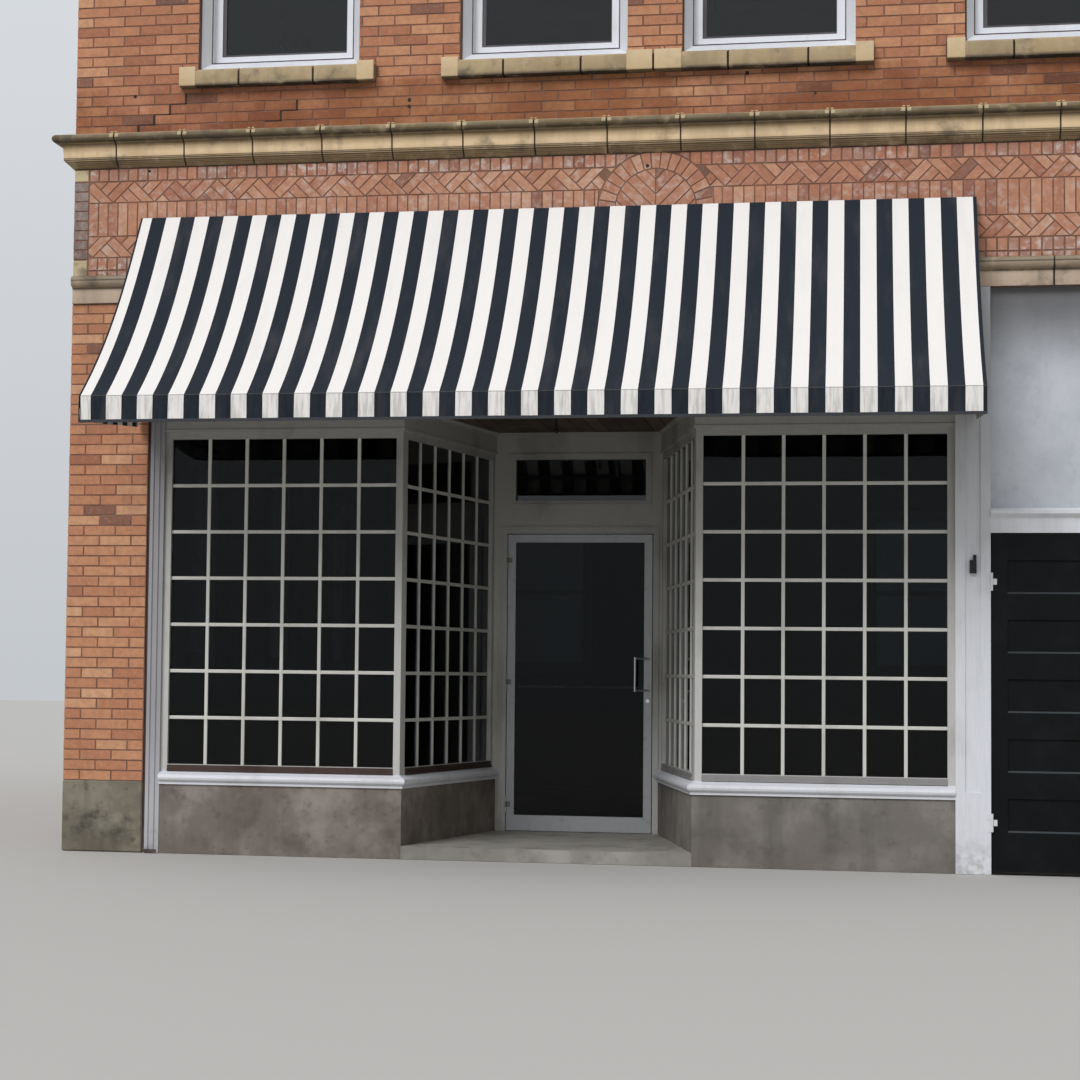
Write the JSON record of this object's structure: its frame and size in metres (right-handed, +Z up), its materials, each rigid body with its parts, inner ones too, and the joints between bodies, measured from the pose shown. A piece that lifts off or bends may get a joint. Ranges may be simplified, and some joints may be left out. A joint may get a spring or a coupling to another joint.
{
  "type": "corner shop building",
  "caption": "Two-storey brick corner shop with a splayed timber shopfront, striped awning, stone mouldings and a panelled side door.",
  "frame": {"origin": "centre of the building's footprint, on the underside of the ground floor, at ground level", "axes": "+Z up; the street front faces -Y; +X is to the right of someone who looks at the front; the side wall of the corner faces -X"},
  "size_m": [7.7259, 10.23, 8.296],
  "materials": {
    "brick": "wire-cut facing brick with mortar joints",
    "concrete": "rendered concrete, stained",
    "cast_stone": "buff cast stone, weathered",
    "white_paint": "gloss paint on timber",
    "grey_paint": "off-white paint on timber",
    "floor_boards": "worn boards",
    "slab": "trowelled screed",
    "tile": "tiled landing",
    "roofing": "felted deck",
    "plate_glass": "clear plate glass",
    "soffit_boards": "stained boards",
    "plaster": "painted plaster",
    "door_metal": "clear anodised",
    "black_paint": "black gloss paint on timber",
    "ironmongery": "satin",
    "old_brass": "dull",
    "awning_canvas": "striped woven canvas",
    "frame_tube": "galvanised and painted",
    "dark_iron": "painted iron"
  },
  "bodies": {
    "building": {"left_pier": "brick", "right_pier": "brick", "pier_bases": "concrete", "frieze_wall": "brick", "upper_front_wall": "brick", "left_side_wall": "brick", "party_wall": "brick", "rear_wall": "brick", "lower_moulding": "cast_stone", "string_cornice": "cast_stone", "top_cornice": "cast_stone", "parapet_coping": "cast_stone", "front_sills": "cast_stone", "front_lintels": "cast_stone", "side_window_stones": "cast_stone", "ground_floor": "slab", "upper_floor": "floor_boards", "roof_deck": "roofing", "front_window_frames": "white_paint", "front_window_glass": "plate_glass", "side_window_frames": "white_paint", "side_window_glass": "plate_glass", "left_bulkhead": "concrete", "right_bulkhead": "concrete", "display_sills": "white_paint", "display_frames": "grey_paint", "display_glass": "plate_glass", "display_decks": "floor_boards", "shopfront_head": "grey_paint", "recess_soffit": "soffit_boards", "transom_panel": "grey_paint", "shopfront_pilasters": "white_paint", "entry_landing": "tile", "door_frame": "grey_paint", "transom_glass": "plate_glass", "side_door_frame": "white_paint", "plaster_panel": "plaster", "awning_cloth": "awning_canvas", "awning_wings": "awning_canvas", "awning_frame": "frame_tube", "iron_fittings": "dark_iron"},
    "shop_door": {"shop_door": "door_metal", "shop_door_glass": "plate_glass", "shop_door_hardware": "ironmongery"},
    "side_door": {"side_door": "black_paint", "side_door_hardware": "old_brass"}
  },
  "joints": [
    {"name": "shop_door_swing", "type": "hinge", "parent": "building", "child": "shop_door", "pos_m": [-1.126, -2.909, 0.09], "axis": [0, 0, 1], "range_deg": [-95, 0]},
    {"name": "side_door_swing", "type": "hinge", "parent": "building", "child": "side_door", "pos_m": [2.079, -4.529, 0.02], "axis": [0, 0, 1], "range_deg": [-95, 0]}
  ]
}
